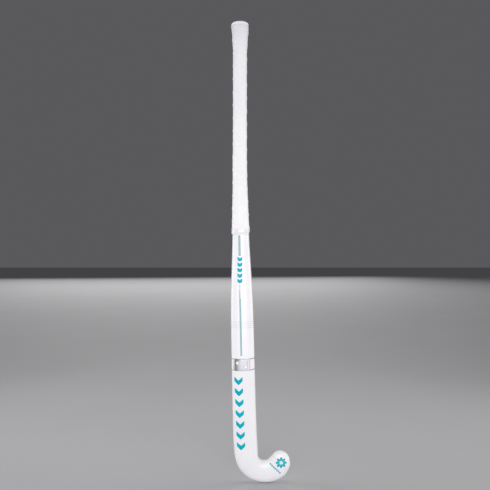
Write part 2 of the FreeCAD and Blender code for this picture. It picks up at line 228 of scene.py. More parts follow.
def handle_points(turn, height, offset):
    """Points of the shaft's level cuts, grown by offsets. The three arrays have one shape."""
    turn, height, offset = np.broadcast_arrays(turn, height, offset)
    rows = np.array(SHAFT)[::-1]
    values = natural_spline(rows[:, 0], rows[:, 1:], height.ravel()).reshape(height.shape + (5,))
    heel, toe, thickness, flat, widest = np.moveaxis(values, -1, 0)
    half = (toe - heel) / 2
    across, depth = d_outline(turn, half + offset, flat * half, -offset, widest * thickness,
                              thickness + offset)
    return np.stack([(toe + heel) / 2 - across, face_y(height) - depth, height], -1)


def bend_cut(angle, offset):
    """Middle, direction and D of the cut at an angle round the crook."""
    axis = (math.cos(math.radians(angle)), math.sin(math.radians(angle)))
    away = (CROOK[0] - HEEL[0], CROOK[1] - HEEL[1])
    along = away[0] * axis[0] + away[1] * axis[1]
    outer = -along + math.sqrt(along ** 2 + HEEL_R ** 2 - away[0] ** 2 - away[1] ** 2)
    turn = (angle - BEND_ANGLES[0]) / (BEND_ANGLES[-1] - BEND_ANGLES[0])
    half = (outer - TOE_TUCK * turn ** 20 - CROOK_R) / 2
    reach = CROOK_R + half
    thickness = HEAD_THICKNESS + (TOE_THICKNESS - HEAD_THICKNESS) * turn
    middle = (CROOK[0] + reach * axis[0], CROOK[1] + reach * axis[1])
    return middle, axis, (half + offset, HEAD_FLAT * half, -offset, HEAD_WIDEST * thickness,
                          thickness + offset)


def toe_cut(angle, offset):
    """Middle, direction and D of one of the cuts that close the toe. At 90 degrees it would be its tip."""
    slope = math.radians(TOE_ANGLE)
    along = (math.cos(slope), math.sin(slope))
    axis = (math.sin(slope), -math.cos(slope))
    sine, cosine = math.sin(math.radians(angle)), math.cos(math.radians(angle))
    run = TOE_LENGTH * sine
    reach = TOE_START + (TOE_LENGTH + offset) * sine
    flat = math.sqrt(max(TOE_FLAT_R ** 2 - run ** 2, 0.0))
    edge = max(run - TOE_FLAT_R, 0.0) / (TOE_LENGTH - TOE_FLAT_R)
    rounding = 1 - math.sqrt(1 - edge ** 2)
    widest = HEAD_WIDEST * TOE_THICKNESS
    half = (TOE_HALF_WIDTH + offset) * cosine ** TOE_FULLNESS
    out = TOE_OFFSET + TOE_LEAN * cosine ** 10
    middle = (CROOK[0] + out * axis[0] + reach * along[0], CROOK[1] + out * axis[1] + reach * along[1])
    return middle, axis, (half, max(min(flat, 0.8 * half), 0.1 * half),
                          -offset + (widest + offset) * rounding, widest,
                          widest + (TOE_THICKNESS - widest + offset) * cosine)


def head_ring(cut, turns):
    """One slanted cut of the bend or the toe as a ring of points."""
    middle, axis, sizes = cut
    across, depth = d_outline(turns, *sizes)
    height = middle[1] + across * axis[1]
    return np.stack([middle[0] + across * axis[0], face_y(height) - depth, height], -1)


def body_rings(offset, turns, spacing):
    """The lofted body as evenly spaced rings, from the cap's seat to the tip of the toe."""
    rings = [handle_points(turns, row[0], offset) for row in SHAFT[1:]]
    rings += [head_ring(bend_cut(angle, offset), turns) for angle in BEND_ANGLES]
    rings += [head_ring(toe_cut(angle, offset), turns) for angle in TOE_ANGLES]
    rings = np.array(rings)
    steps = np.linalg.norm(np.diff(rings, axis=0), axis=2).mean(1)
    run = np.concatenate([[0], np.cumsum(steps)])
    return natural_spline(run, rings, np.linspace(0, run[-1], int(run[-1] / spacing)))


# ---------------------------------------------------------------- meshes

def to_frame(points):
    """Millimetres and heights to the frame's metres."""
    points = np.asarray(points, float).reshape(-1, 3) * MM
    points[:, 2] += BASE_Z
    return points


def outward(points, faces):
    """The faces of a closed mesh, all turned over if they enclose a negative volume."""
    points = np.asarray(points, float)
    fans = np.array([[face[0], face[i], face[i + 1]] for face in faces for i in range(1, len(face) - 1)])
    a, b, c = (points[fans[:, corner]] for corner in range(3))
    volume = np.einsum("ij,ij->i", a, np.cross(b, c)).sum()
    return faces if volume > 0 else [face[::-1] for face in faces]


def make_piece(name, points, faces, material, slot, node):
    """A mesh in the frame that rides on the one body and stands for a CAD node."""
    mesh = bpy.data.meshes.new(name)
    mesh.from_pydata(to_frame(points).tolist(), [], outward(points, faces))
    mesh.validate()
    mesh.polygons.foreach_set("use_smooth", [True] * len(mesh.polygons))
    mesh.materials.append(material)
    piece = bpy.data.objects.new(name, mesh)
    bpy.context.scene.collection.objects.link(piece)
    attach(piece, "root")
    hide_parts(node)
    return piece


def tube_faces(rings, around, first=0, flip=False):
    """Quads between consecutive rings of the same count."""
    faces = []
    for i in range(rings - 1):
        for j in range(around):
            a, b = first + i * around + j, first + i * around + (j + 1) % around
            quad = [a, b, b + around, a + around]
            faces.append(quad[::-1] if flip else quad)
    return faces


def cap_faces(start, around, centre, flip=False):
    """A fan that closes a ring to one point."""
    fan = [[start + j, start + (j + 1) % around, centre] for j in range(around)]
    return [triangle[::-1] for triangle in fan] if flip else fan


def closed_grid(outer, inner, loop=False):
    """Points and quads of a thin solid between two grids of one shape. A loop joins its first axis."""
    rows, columns = outer.shape[:2]
    points = np.concatenate([outer.reshape(-1, 3), inner.reshape(-1, 3)])
    under = rows * columns
    faces = []
    last = rows if loop else rows - 1
    for i in range(last):
        n = (i + 1) % rows
        for j in range(columns - 1):
            a, b, c, d = i * columns + j, n * columns + j, n * columns + j + 1, i * columns + j + 1
            faces.append([a, b, c, d])
            faces.append([d + under, c + under, b + under, a + under])
        for j, turned in ((0, False), (columns - 1, True)):
            a, b = i * columns + j, n * columns + j
            side = [a, a + under, b + under, b]
            faces.append(side[::-1] if turned else side)
    if not loop:
        for i, turned in ((0, True), (rows - 1, False)):
            for j in range(columns - 1):
                a, b = i * columns + j, i * columns + j + 1
                side = [a, a + under, b + under, b]
                faces.append(side[::-1] if turned else side)
    return points, outward(points, faces)


def joined(parts):
    """Several (points, faces) as one."""
    points, faces, count = [], [], 0
    for part_points, part_faces in parts:
        points.append(part_points)
        faces += [[index + count for index in face] for face in part_faces]
        count += len(part_points)
    return np.concatenate(points), faces


# ---------------------------------------------------------------- materials

class Nodes:
    """A small writer of node materials. Positions are object coordinates, in metres."""

    def __init__(self, name):
        self.material = bpy.data.materials.new(name)
        self.material.use_nodes = True
        self.tree = self.material.node_tree
        self.shader = self.tree.nodes["Principled BSDF"]
        self.place = self.add("ShaderNodeTexCoord").outputs["Object"]

    def add(self, kind, **settings):
        """A new node with its settings."""
        node = self.tree.nodes.new(kind)
        for key, value in settings.items():
            setattr(node, key, value)
        return node

    def feed(self, socket, value):
        """Link a socket's value, or set a plain one."""
        if isinstance(value, bpy.types.NodeSocket):
            self.tree.links.new(value, socket)
        elif isinstance(value, tuple) and len(value) == 3 and socket.type == "RGBA":
            socket.default_value = value + (1.0,)
        else:
            socket.default_value = value

    def scaled(self, scale):
        """The object coordinates, multiplied."""
        node = self.add("ShaderNodeMapping")
        self.feed(node.inputs["Vector"], self.place)
        node.inputs["Scale"].default_value = scale
        return node.outputs["Vector"]

    def noise(self, size, detail=2.0, stretch=(1, 1, 1)):
        """Noise whose features are about so many millimetres across, stretched along an axis."""
        node = self.add("ShaderNodeTexNoise")
        self.feed(node.inputs["Vector"], self.scaled(tuple(1 / (size * MM * s) for s in stretch)))
        node.inputs["Scale"].default_value = 1.0
        node.inputs["Detail"].default_value = detail
        return node.outputs["Fac"]

    def cells(self, size, feature="F1"):
        """Distance from the middle of cells about so many millimetres across."""
        node = self.add("ShaderNodeTexVoronoi", feature=feature)
        self.feed(node.inputs["Vector"], self.scaled((1 / (size * MM),) * 3))
        node.inputs["Scale"].default_value = 1.0
        return node.outputs["Distance"]

    def ramp(self, factor, stops):
        """Colours or grey levels at positions along a factor."""
        node = self.add("ShaderNodeValToRGB")
        self.feed(node.inputs["Fac"], factor)
        elements = node.color_ramp.elements
        while len(elements) < len(stops):
            elements.new(0.5)
        for element, (position, colour) in zip(elements, stops):
            element.position = position
            element.color = (tuple(colour) if hasattr(colour, "__len__") else (colour,) * 3) + (1.0,)
        return node.outputs["Color"]

    def maths(self, operation, a, b=0.0, c=0.0):
        """One sum on up to three numbers or sockets."""
        node = self.add("ShaderNodeMath", operation=operation)
        for socket, value in zip(node.inputs, (a, b, c)):
            self.feed(socket, value)
        return node.outputs["Value"]

    def axis(self, letter):
        """One object coordinate, in metres."""
        node = self.add("ShaderNodeSeparateXYZ")
        self.feed(node.inputs["Vector"], self.place)
        return node.outputs[letter]

    def height(self):
        """Millimetres above the base of the head."""
        return self.maths("MULTIPLY_ADD", self.axis("Z"), 1 / MM, -BASE_Z / MM)

    def between(self, value, low, high):
        """0 at low and 1 at high, straight in between."""
        node = self.add("ShaderNodeMapRange")
        for socket, number in zip(node.inputs[:3], (value, low, high)):
            self.feed(socket, number)
        return node.outputs["Result"]

    def mix(self, factor, a, b, blend="MIX"):
        """Two colours mixed or blended by a factor."""
        node = self.add("ShaderNodeMix", data_type="RGBA", blend_type=blend)
        self.feed(node.inputs[0], factor)
        self.feed(node.inputs[6], a)
        self.feed(node.inputs[7], b)
        return node.outputs[2]

    def bump(self, height, depth, under=None):
        """Relief whose factor of 1 stands so many millimetres high."""
        node = self.add("ShaderNodeBump")
        node.inputs["Distance"].default_value = depth * MM
        self.feed(node.inputs["Height"], height)
        if under is not None:
            self.feed(node.inputs["Normal"], under)
        return node.outputs["Normal"]

    def peel(self):
        """The faint orange peel of the lacquer, which the prints below it show too."""
        return self.bump(self.noise(2.2, 1.5), 0.004)

    def finish(self, **values):
        """The material, with sockets or values fed to its shader."""
        names = dict(colour="Base Color", roughness="Roughness", metal="Metallic", coat="Coat Weight",
                     coat_roughness="Coat Roughness", normal="Normal", coat_normal="Coat Normal",
                     sheen="Sheen Weight", sheen_roughness="Sheen Roughness", subsurface="Subsurface Weight",
                     reach="Subsurface Scale", level="Specular IOR Level")
        for key, value in values.items():
            self.feed(self.shader.inputs[names[key]], value)
        return self.material


def lacquer_material():
    """White gloss lacquer: a faint orange peel, a little lavender in the white, wiped-on haze."""
    n = Nodes("gloss_white_lacquer")
    white = n.ramp(n.noise(60, 3), [(0.3, (0.855, 0.845, 0.875)), (0.7, (0.88, 0.875, 0.89))])
    haze = n.ramp(n.noise(18, 4, stretch=(1, 1, 3)), [(0.35, 0.36), (0.75, 0.44)])
    return n.finish(colour=white, roughness=haze, coat=0.15, coat_roughness=0.2, level=0.35,
                    normal=n.peel(), coat_normal=n.bump(n.noise(3.0, 1.0), 0.003))


def ink_material(name, colour, deep):
    """Print under lacquer: its tone drifts slightly, and fine screen dots roughen the solid colour."""
    n = Nodes(name)
    drift = n.noise(9, 3)
    tone = n.mix(n.between(drift, 0.3, 0.7), colour, deep)
    grain = n.ramp(n.noise(0.35, 1), [(0.3, 0.96), (0.7, 1.0)])
    return n.finish(colour=n.mix(1.0, tone, grain, "MULTIPLY"), roughness=0.3, coat=0.04,
                    coat_roughness=0.05, level=0.08, normal=n.peel())


def sun_material():
    """The sunburst's print: light cyan round its centre and deep teal at its tips."""
    n = Nodes("sunburst_print_ink")
    across = n.maths("SUBTRACT", n.axis("X"), SUN[0] * MM)
    up = n.maths("MULTIPLY_ADD", n.height(), MM, -SUN[1] * MM)
    square = n.maths("MULTIPLY_ADD", across, across, n.maths("MULTIPLY", up, up))
    share = n.between(n.maths("SQRT", square), 0, SUN_TIP * MM)
    wave = n.maths("MULTIPLY_ADD", n.noise(5, 2), 0.3, -0.15)
    tone = n.ramp(n.maths("ADD", share, wave), [(0.40, (0.08, 0.56, 0.64)), (0.72, (0.0, 0.38, 0.47))])
    return n.finish(colour=tone, roughness=0.3, coat=0.04, level=0.08, normal=n.peel())


def stripe_material():
    """The muted pinstripe, whose lowest stretch is printed as a close row of dots."""
    n = Nodes("muted_pinstripe_ink")
    height = n.height()
    dots = n.maths("SINE", n.maths("MULTIPLY", height, 2 * math.pi / DOT_PITCH))
    strength = n.maths("MULTIPLY", n.between(dots, -1, 1), n.between(height, *DOTS))
    tone = n.mix(n.between(n.noise(14, 3), 0.3, 0.7), (0.24, 0.44, 0.46), (0.28, 0.47, 0.49))
    spotted = n.mix(n.maths("MULTIPLY", strength, 0.45), tone, (0.62, 0.74, 0.76))
    return n.finish(colour=spotted, roughness=0.3, coat=0.1, level=0.2, normal=n.peel())


SILVER = (0.62, 0.615, 0.66)


def foil_material():
    """Silver foil panel with painted reflection: dark in its upper heel corner and down that side, light
    towards the toe.
    """
    n = Nodes("silver_foil")
    across = n.between(n.axis("X"), FOIL_X[0] * MM, FOIL_X[1] * MM)
    lift = n.maths("MULTIPLY", n.between(n.height(), 246, 254), -0.16)
    wave = n.maths("MULTIPLY_ADD", n.noise(8, 2, stretch=(1, 1, 1.6)), 0.24, -0.12)
    place = n.maths("ADD", n.maths("ADD", across, lift), wave)
    # painted reflection: the silver is darkened towards the heel side and its upper corner and lightened
    # towards the toe, as light falls across the curved foil
    blend = n.ramp(place, [
        (0.0, (0.24, 0.235, 0.24)), (0.10, (0.28, 0.275, 0.29)), (0.22, (0.48, 0.475, 0.50)),
        (0.36, SILVER), (0.93, SILVER), (0.97, (0.60, 0.59, 0.68))])
    brushed = n.noise(0.25, 2, stretch=(1, 1, 40))
    return n.finish(colour=blend, metal=0.2, roughness=n.ramp(brushed, [(0.3, 0.30), (0.7, 0.42)]),
                    coat=0.2, coat_roughness=0.1, normal=n.bump(brushed, 0.004))


def edging_material():
    """Grey foil lines that fade to the panel's own silver where they border it."""
    n = Nodes("grey_foil_edging")
    across = n.between(n.axis("X"), -20 * MM, 30 * MM)
    grey, warm = (0.31, 0.305, 0.32), (0.58, 0.56, 0.56)
    blend = n.ramp(across, [
        (0.10, grey), (0.15, warm), (0.19, warm), (0.20, (0.26, 0.255, 0.27)), (0.30, (0.30, 0.295, 0.31)),
        (0.38, SILVER), (0.74, SILVER), (0.78, (0.50, 0.495, 0.53)), (0.84, grey)])
    brushed = n.noise(0.25, 2, stretch=(1, 1, 40))
    return n.finish(colour=blend, metal=0.2, roughness=0.38, coat=0.2, normal=n.bump(brushed, 0.004))


def grip_material():
    """Soft polyurethane wrap with fine embossed grain: its own lavender grey and warm white, with painted
    shade darkening it towards the butt.
    """
    n = Nodes("cushion_wrap")
    # painted shade: the ramp runs from warm white low down to a darker lavender grey at the butt, partly the
    # wrap's own tint and partly standing in for less light reaching the top
    tone = n.ramp(n.between(n.height(), 500, 920), [
        (0.0, (0.95, 0.925, 0.92)), (0.12, (0.93, 0.91, 0.91)), (0.5, (0.875, 0.86, 0.88)),
        (0.8, (0.83, 0.82, 0.85)), (0.9, (0.79, 0.78, 0.81)), (1.0, (0.69, 0.685, 0.72))])
    streaks = n.ramp(n.noise(2.6, 3, stretch=(1, 1, 14)), [(0.25, 0.955), (0.75, 1.0)])
    streaked = n.mix(1.0, tone, streaks, "MULTIPLY")
    worn = n.ramp(n.noise(22, 4), [(0.42, 1.0), (0.8, 0.95)])
    # the worn tone still carries the painted shade of the height ramp
    worn_and_shaded = n.mix(1.0, streaked, worn, "MULTIPLY")
    specks = n.ramp(n.noise(5.5, 2), [(0.80, 0.0), (0.84, 0.35)])
    colour = n.mix(specks, worn_and_shaded, (0.52, 0.50, 0.53))
    grain = n.bump(n.cells(0.9, "SMOOTH_F1"), 0.05)
    pores = n.bump(n.ramp(n.cells(0.6), [(0.0, 0.0), (0.25, 1.0)]), 0.03, grain)
    soft = n.bump(n.noise(6, 3), 0.25, pores)
    return n.finish(colour=colour, roughness=n.ramp(n.noise(8, 3), [(0.3, 0.52), (0.7, 0.66)]),
                    sheen=0.15, sheen_roughness=0.4, subsurface=0.06, reach=0.002, normal=soft)


def tape_material():
    """Smooth vinyl with a slight stretch grain round the handle."""
    n = Nodes("finishing_vinyl")
    tone = n.ramp(n.noise(7, 3, stretch=(3, 3, 0.6)), [(0.3, (0.78, 0.78, 0.81)), (0.7, (0.82, 0.825, 0.86))])
    stretch = n.bump(n.noise(1.6, 3, stretch=(5, 5, 0.5)), 0.06)
    return n.finish(colour=tone, roughness=0.34, coat=0.2, coat_roughness=0.15, normal=stretch)


def cap_material():
    """Satin moulded elastomer with a fine spark-eroded texture."""
    n = Nodes("moulded_cap")
    tone = n.ramp(n.noise(12, 3), [(0.3, (0.78, 0.775, 0.82)), (0.7, (0.82, 0.815, 0.85))])
    return n.finish(colour=tone, roughness=n.ramp(n.noise(1.2, 2), [(0.3, 0.34), (0.7, 0.44)]),
                    subsurface=0.05, reach=0.002, normal=n.bump(n.noise(0.5, 2), 0.02))


def foam_material():
    """Closed-cell core foam."""
    n = Nodes("core_foam")
    tone = n.ramp(n.noise(3, 4), [(0.3, (0.74, 0.66, 0.45)), (0.7, (0.84, 0.77, 0.56))])
    return n.finish(colour=tone, roughness=0.85, normal=n.bump(n.cells(0.7), 0.15))


def weave(n, pitch, low, high):
    """A plain weave of tows, so many millimetres apart, as a colour and a relief."""
    up = n.maths("SINE", n.maths("MULTIPLY", n.axis("Z"), math.pi / (pitch * MM)))
    over = n.maths("SINE", n.maths("MULTIPLY", n.axis("X"), math.pi / (pitch * MM)))
    checks = n.between(n.maths("MULTIPLY", up, over), -0.4, 0.4)
    return n.mix(checks, low, high), checks


def carbon_material():
    """Bare carbon cloth in clear resin."""
    n = Nodes("raw_carbon")
    colour, relief = weave(n, 2.0, (0.025, 0.025, 0.028), (0.06, 0.06, 0.065))
    return n.finish(colour=colour, roughness=0.38, coat=0.3, normal=n.bump(relief, 0.06))


def aramid_material():
    """Golden aramid cloth."""
    n = Nodes("aramid_ply")
    colour, relief = weave(n, 1.5, (0.62, 0.50, 0.17), (0.80, 0.68, 0.30))
    return n.finish(colour=colour, roughness=0.5, normal=n.bump(relief, 0.08))


def underlay_material():
    """Thin woven tape with adhesive."""
    n = Nodes("adhesive_underlay")
    colour, relief = weave(n, 0.8, (0.72, 0.69, 0.60), (0.82, 0.79, 0.70))
    return n.finish(colour=colour, roughness=0.8, normal=n.bump(relief, 0.05))


LACQUER = lacquer_material()
GRIP = grip_material()
TAPE = tape_material()
CAP = cap_material()
TEAL = ink_material("teal_print", (0.0, 0.41, 0.54), (0.0, 0.46, 0.56))
GREY = ink_material("grey_print", (0.57, 0.55, 0.58), (0.63, 0.61, 0.64))
WHITE = ink_material("white_print", (0.97, 0.97, 0.98), (1.0, 1.0, 1.0))
STRIPE = stripe_material()
SUN_INK = sun_material()
FOIL = foil_material()
EDGING = edging_material()


def finish_hidden_nodes():
    """The CAD's own inner pieces keep their shape and get their real material."""
    foam, carbon = foam_material(), carbon_material()
    inner = {
        "face_ply": aramid_material(), "head_core": foam, "handle_plug": foam,
        "tube_heel_side": carbon, "tube_toe_side": carbon, "grip_underlay": underlay_material(),
    }
    for name, material in inner.items():
        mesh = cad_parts[name].data
        mesh.materials.clear()
        mesh.materials.append(material)


# ---------------------------------------------------------------- the laminate

SHELL_TURNS = 92
SHELL_SPACING = 2.4


def build_laminate():
    """The lacquered laminate: its outer skin and its inner wall, joined round the seat of the cap."""
    turns = np.arange(SHELL_TURNS) / SHELL_TURNS
    outer = body_rings(0.0, turns, SHELL_SPACING)
    inner = body_rings(-WALL, turns, SHELL_SPACING * 2)
    around = SHELL_TURNS
    tips = [rings[-1].mean(0) for rings in (outer, inner)]
    points = np.concatenate([outer.reshape(-1, 3), inner.reshape(-1, 3), tips])
    inner_start = len(outer) * around
    end = inner_start + len(inner) * around
    faces = tube_faces(len(outer), around)
    faces += tube_faces(len(inner), around, inner_start, flip=True)
    faces += cap_faces(inner_start - around, around, end)
    faces += cap_faces(end - around, around, end + 1, flip=True)
    for j in range(around):
        k = (j + 1) % around
        faces.append([k, j, inner_start + j, inner_start + k])       # the wall's top, at the seat of the cap
    return make_piece("lacquered_laminate", points, faces, LACQUER, "lacquer", "outer_laminate")


laminate = build_laminate()
SKIN = BVHTree.FromPolygons([v.co[:] for v in laminate.data.vertices],
                            [p.vertices[:] for p in laminate.data.polygons])


# ---------------------------------------------------------------- prints and foil

def on_back(x, height, offset):
    """Points on the stick's back at some X and heights, raised off the lacquer by an offset."""
    shape = x.shape
    points = []
    for px, pz in zip(x.ravel(), height.ravel()):
        origin = Vector((px * MM, -1.0, pz * MM + BASE_Z))
        place, normal = SKIN.ray_cast(origin, Vector((0, 1, 0)))[:2]
        place = place + normal * (offset * MM)
        points.append((place.x / MM, place.y / MM, (place.z - BASE_Z) / MM))
    return np.array(points).reshape(shape + (3,))


def back_film(x, height, loop=False, raised=FILM):
    """A thin print over a grid of X and heights."""
    return closed_grid(on_back(x, height, raised), on_back(x, height, BURIED), loop)


def strip(low, high, width, step=2.0):
    """A straight film from one (X, height) to another."""
    count = max(2, int(abs(high[1] - low[1]) / step) + 1)
    along, across = np.meshgrid(np.linspace(0, 1, count), np.linspace(-0.5, 0.5, 5), indexing="ij")
    x = low[0] + (high[0] - low[0]) * along + width * across
    return back_film(x, low[1] + (high[1] - low[1]) * along)


def panel(low_x, high_x, low, high, raised=FILM, step=1.2):
    """An upright rectangle of film."""
    columns = max(2, int((high_x - low_x) / step) + 1)
    rows = max(2, int((high - low) / step) + 1)
    height, x = np.meshgrid(np.linspace(low, high, rows), np.linspace(low_x, high_x, columns), indexing="ij")
    return back_film(x, height, raised=raised)


def ring_film(low, high, start=0.0, end=1.0, lean=0.0, smile=0.0):
    """A film round the shaft between two heights, over a share of a full turn. It may rise towards the
    toe side by its lean, and by its smile towards both sides."""
    closed = end - start >= 1
    count = int(120 * (end - start)) + 1
    turns = np.linspace(start, end, count, endpoint=not closed)
    turn, height = np.meshgrid(turns, np.linspace(low, high, 3), indexing="ij")
    over_front = (turn - REAR_SHARE) / (1 - REAR_SHARE)
    across = np.where(turn < REAR_SHARE, -np.cos(math.pi * turn / REAR_SHARE), np.cos(math.pi * over_front))
    height = height + lean * across + smile * np.where(turn < REAR_SHARE, across ** 2, 1)
    return closed_grid(handle_points(turn, height, FILM), handle_points(turn, height, BURIED), closed)


MARK_FOLD = 0.004         # how much the bend of a mark is rounded
MARK_CORNER = 0.06        # how much its ends are


def chevron(middle, size):
    """A bent bar that points down the stick, with softened ends."""
    (x, height), (wide, tall, stroke) = middle, size
    share, depth = np.meshgrid(np.linspace(-1, 1, 17), np.linspace(0, 1, 9), indexing="ij")
    fold = np.sqrt(share ** 2 + MARK_FOLD) / math.sqrt(1 + MARK_FOLD)
    top = height - tall / 2 + stroke + (tall - stroke) * fold
    ends = 1 - MARK_CORNER * np.abs(2 * depth - 1) ** 3
    return back_film(x + wide / 2 * share * ends, top - stroke * depth)


def row_of(first, last, count):
    """Evenly spaced places from one place to another."""
    shares = [i / (count - 1) for i in range(count)]
    return [(first[0] + (last[0] - first[0]) * s, first[1] + (last[1] - first[1]) * s) for s in shares]


def sunburst(middle, tip, valley, hole, points):
    """A ring of uneven rounded points round an open centre."""
    angle, share = np.meshgrid(np.linspace(0, 2 * math.pi, 24 * points, endpoint=False),
                               np.linspace(0, 1, 9), indexing="ij")
    wave = 0.5 + 0.5 * np.cos(points * angle)
    outer = valley + (tip - valley) * wave ** 0.8 * (0.93 + 0.07 * np.cos(3 * angle + 0.6))
    inner = hole * (1 + 0.12 * np.cos(3 * angle))
    radius = inner + (outer - inner) * share
    return back_film(middle[0] + radius * np.cos(angle), middle[1] + radius * np.sin(angle), loop=True)


def lozenge(middle, long, wide, slope):
    """A short bar with rounded ends, turned by an angle."""
    across, along = np.meshgrid(np.linspace(-1, 1, 7), np.linspace(-1, 1, 5), indexing="ij")
    a = long / 2 * across * np.sqrt(1 - 0.35 * along ** 2)
    b = wide / 2 * along * np.sqrt(1 - 0.35 * across ** 2)
    cosine, sine = math.cos(math.radians(slope)), math.sin(math.radians(slope))
    return back_film(middle[0] + a * cosine - b * sine, middle[1] + a * sine + b * cosine)


def back_spot(middle, wide, tall):
    """A rounded white spot that lies in the foil."""
    across, along = np.meshgrid(np.linspace(-1, 1, 9), np.linspace(-1, 1, 9), indexing="ij")
    x = middle[0] + wide * across * np.sqrt(1 - 0.4 * along ** 2)
    height = middle[1] + tall * along * np.sqrt(1 - 0.4 * across ** 2)
    return back_film(x, height, raised=OVER_FOIL)


def stripe_gap(height):
    """The share of a turn where the lower pinstripe crosses the back at a height."""
    low, high = LOWER_STRIPE
    share = (height - low[1]) / (high[1] - low[1])
    x = low[0] + (high[0] - low[0]) * share
    turns = np.linspace(0, REAR_SHARE, 600)
    ring = handle_points(turns, np.full(turns.shape, height), np.zeros(turns.shape))
    half = LOWER_STRIPE_WIDTH / 2
    return [turns[np.argmin(np.abs(ring[:, 0] - edge))] for edge in (x - half, x + half)]


def hairline(height):
    """A fine ring that leaves out the pinstripe it would cross."""
    before, after = stripe_gap(height)
    return ring_film(height - HAIRLINE_WIDTH / 2, height + HAIRLINE_WIDTH / 2, after, before + 1)


def build_prints():
    """Every print and foil: its name, its films, its material, its slot and the CAD node it stands for."""
    ticks = [panel(*TICK_X, height, height + TICK_TALL, step=0.8) for height in TICK_HEIGHTS]
    rings = [ring_film(*LOWER_RING, lean=0.9, smile=1.5), ring_film(*UPPER_RING, lean=0.45)]
    bars = [panel(*x, *FOIL_HEIGHTS, UNDER_RINGS, 0.5) for x in (HEEL_BAR_X, TOE_BAR_X)]
    pieces = [
        ("upper_pinstripe_print", [strip(*UPPER_STRIPE, UPPER_STRIPE_WIDTH)],
         STRIPE, "stripe_ink", "upper_pinstripe"),
        ("lower_pinstripe_print", [strip(*LOWER_STRIPE, LOWER_STRIPE_WIDTH)],
         STRIPE, "stripe_ink", "lower_pinstripe"),
        ("upper_motif_print", [chevron(place, UPPER_MARK) for place in row_of(*UPPER_ROW, UPPER_MARKS)],
         TEAL, "teal_ink", "upper_motif"),
        ("lower_motif_print", [chevron(place, LOWER_MARK) for place in row_of(*LOWER_ROW, LOWER_MARKS)],
         TEAL, "teal_ink", "lower_motif"),
        ("small_marks_print", ticks + [panel(*SMALL_DASH)], GREY, "grey_ink", "small_marks"),
        ("hairline_rings", [hairline(height) for height in HAIRLINES], GREY, "grey_ink", "hairlines"),
        ("foil_panel", [panel(*FOIL_X, *FOIL_HEIGHTS, UNDER_RINGS)], FOIL, "foil", "foil_band"),
        ("foil_edging", rings + bars, EDGING, "dark_foil", "foil_border"),
        ("foil_spots", [back_spot(*spot) for spot in FOIL_SPOTS], WHITE, "white_ink", "foil_emblem"),
        ("sunburst_print", [sunburst(SUN, SUN_TIP, SUN_VALLEY, SUN_HOLE, SUN_POINTS)],
         SUN_INK, "teal_ink", "head_sunburst"),
        ("dash_row_print", [lozenge(place, *DASH_SIZE, DASH_TURN) for place in row_of(*DASH_ROW, DASHES)],
         TEAL, "teal_ink", "head_dashes"),
    ]
    for name, films, material, slot, node in pieces:
        make_piece(name, *joined(films), material, slot, node)


# ---------------------------------------------------------------- the wrapped handle

WRAP_WIDTH = 30.0
WRAP_PITCH = 26.0
WRAP_THICK = 1.0
WRAP_EDGE = 0.5           # thickness left at the skived edges
WRAP_SKIVE = 4.0
WRAP_START = 915.0        # height of the first overlap at the heel side
WRAP_TURNS = (WRAP_START + WRAP_WIDTH - GRIP_BASE) / WRAP_PITCH - 0.2
STEPS_PER_TURN = 72
FOOT_RISE = 3.7           # how much higher the grip's foot ends on the toe side than on the heel side
FOOT_SWELL = 0.4          # how much the foot swells under its tape
FOOT_SWELL_TOP = 532.0    # height where the swelling begins
FOOT_SWELL_RUN = 22.0

TAPE_SEAM = 0.215         # the turn where the tape starts, on the back
TAPE_LAP = 0.03           # the share of a turn that its end is laid over its start
TAPE_THICK = 0.2
LAP_STEP = 0.18           # how high the lap stands over the start, and the share of a turn it rises in
LAP_EASE = 0.012
LEDGE = 1.15              # how far the grip's foot lifts the tape, from how far below it, and over what run
LEDGE_START = 2.0
LEDGE_RUN = 3.4
TAPE_HEM = 2.0            # how far the tape reaches below its CAD node, on to the lacquer
LAST_TURNS = (15, 16)     # the turns of the wrap that the tape covers


def smooth(value):
    """An eased step from 0 to 1."""
    value = np.clip(value, 0, 1)
    return value * value * (3 - 2 * value)


def grip_foot(turn):
    """Height of the wrap's lowest edge, which rises from the heel side to the toe side."""
    return GRIP_BASE + 0.2 + FOOT_RISE * (0.5 - 0.5 * np.cos(2 * math.pi * turn))


def wrap_edges(turn):
    """Lower and upper edge of the strip after so many turns. It ends level at the top and a little
    higher on the toe side at the foot."""
    top = WRAP_START + WRAP_WIDTH - WRAP_PITCH * turn
    foot = grip_foot(turn)
    low = np.clip(top - WRAP_WIDTH, foot, CAP_SEAT - 1.0)
    return low, np.clip(top, foot + 1.0, CAP_SEAT)


def wrap_thickness(turn, height):
    """How thick the strip is at a height, thinner towards its edges, and 0 off the strip."""
    low, high = wrap_edges(turn)
    inside = np.minimum(height - low, high - height)
    thick = WRAP_EDGE + (WRAP_THICK - WRAP_EDGE) * smooth(inside / WRAP_SKIVE)
    return thick * smooth((inside + 1.2) / 1.2) * (turn >= 0) * (turn <= WRAP_TURNS)


def foot_bulge(height):
    """How much the foot of the wrap swells under its tape, in millimetres."""
    return FOOT_SWELL * smooth((FOOT_SWELL_TOP - height) / FOOT_SWELL_RUN)


def build_wrap():
    """One strip wound down the handle, each turn laid over the lower edge of the turn above."""
    turns = np.linspace(0, WRAP_TURNS, int(WRAP_TURNS * STEPS_PER_TURN))
    shares = np.concatenate([[0, 0.02, 0.05], np.linspace(0.09, 0.91, 19), [0.95, 0.98, 1]])
    turn, share = np.meshgrid(turns, shares, indexing="ij")
    low, high = wrap_edges(turn)
    height = low + (high - low) * share
    under = wrap_thickness(turn - 1, height)
    own = np.maximum(wrap_thickness(turn, height), WRAP_EDGE)
    slack = 0.10 * np.sin(2 * math.pi * (turn * 0.37 + 0.1)) * np.sin(math.pi * share)
    bottom = UNDERLAY + under
    outer = handle_points(turn, height, bottom + own + slack + foot_bulge(height))
    inner = handle_points(turn, height, bottom + 0.02)
    wrap = make_piece("cushion_wrap", *closed_grid(outer, inner), GRIP, "grip", "cushion_grip")


